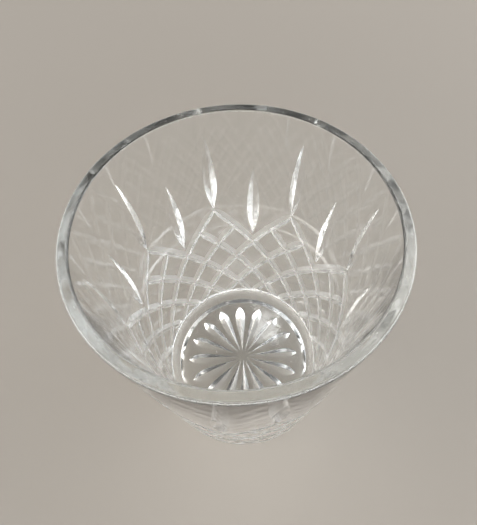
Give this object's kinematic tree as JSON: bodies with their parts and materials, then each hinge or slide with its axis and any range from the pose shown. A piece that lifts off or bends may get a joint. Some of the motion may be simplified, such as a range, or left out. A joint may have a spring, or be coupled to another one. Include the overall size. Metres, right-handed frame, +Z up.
{
  "type": "ice bucket",
  "caption": "Tapered open bucket of clear cut crystal with upright leaf cuts over a crossed diamond band, a heavy base and a star under the foot.",
  "frame": {"origin": "middle of the foot, on the surface that the bucket stands on", "axes": "+Z up the bucket's axis towards the rim; +X and +Y are directions of mirror symmetry, each midway between two neighbouring leaf cuts"},
  "size_m": [0.1656, 0.1656, 0.178],
  "materials": {
    "crystal": "polished clear crystal with wheel cuts"
  },
  "bodies": {
    "root": {"bucket": "crystal"}
  },
  "joints": []
}
